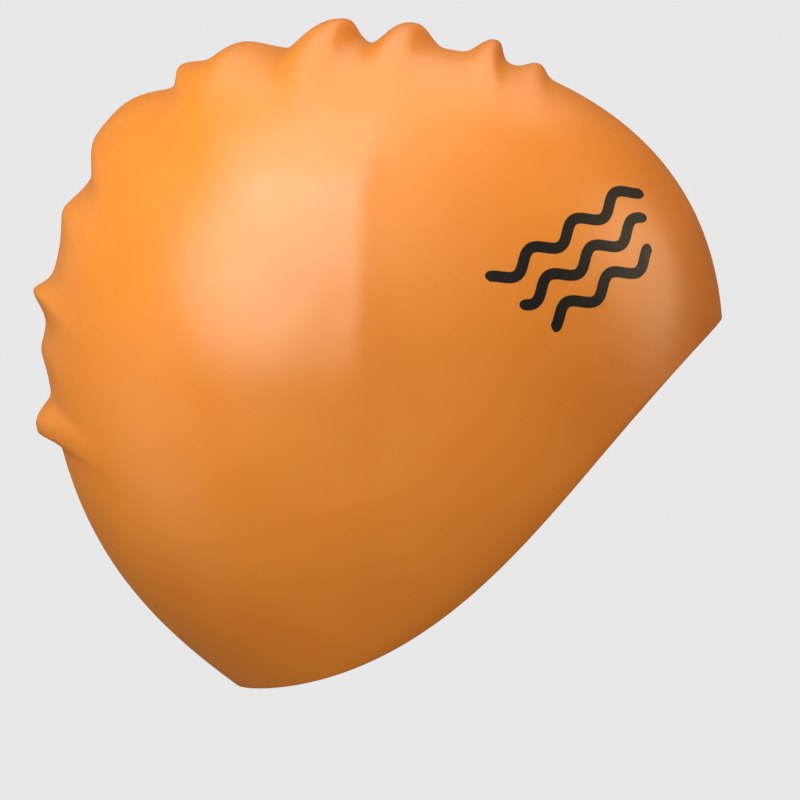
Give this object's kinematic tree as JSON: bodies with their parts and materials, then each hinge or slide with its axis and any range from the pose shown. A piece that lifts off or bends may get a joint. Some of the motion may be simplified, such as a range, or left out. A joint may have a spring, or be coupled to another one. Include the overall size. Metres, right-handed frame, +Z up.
{
  "type": "swim cap",
  "caption": "Hollow moulded silicone swim cap in its worn form, with a slanting rim and folds of spare rubber across the crest.",
  "frame": {"origin": "inner face of the crown on the mid-line, where the top of a head seats", "axes": "+Z up, +X towards the brow, +Y towards the wearer's left"},
  "size_m": [0.2059, 0.1566, 0.1989],
  "materials": {
    "silicone": "smooth moulded silicone rubber, satin, opaque orange"
  },
  "bodies": {
    "root": {"cap_shell": "silicone"}
  },
  "joints": []
}
